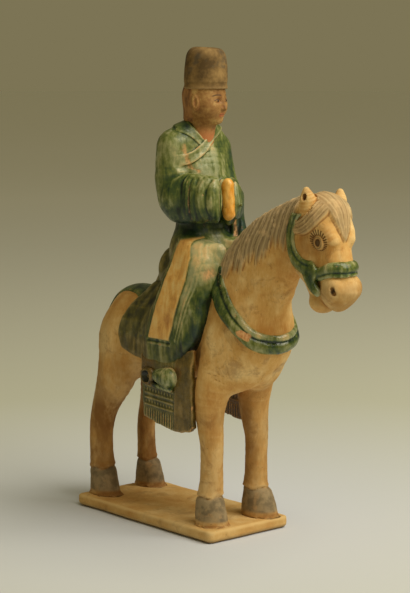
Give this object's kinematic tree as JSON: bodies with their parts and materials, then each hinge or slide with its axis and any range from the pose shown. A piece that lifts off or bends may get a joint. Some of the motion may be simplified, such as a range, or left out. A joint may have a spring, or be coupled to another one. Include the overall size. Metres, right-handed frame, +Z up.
{
  "type": "pottery horseback musician figure",
  "caption": "Lead-glazed pottery tomb figure of a robed musician in a tall hat riding a standing horse, fixed to a thin rectangular plinth.",
  "frame": {"origin": "centre of the plinth's underside", "axes": "+X the way the horse faces, +Y the horse's left side, +Z up"},
  "size_m": [0.2628, 0.0836, 0.35],
  "materials": {
    "painted_clay": "matte",
    "glaze": "gloss",
    "plinth_clay": "matte"
  },
  "bodies": {
    "root": {"plinth": "plinth_clay", "horse_and_rider": "painted_clay"}
  },
  "joints": []
}
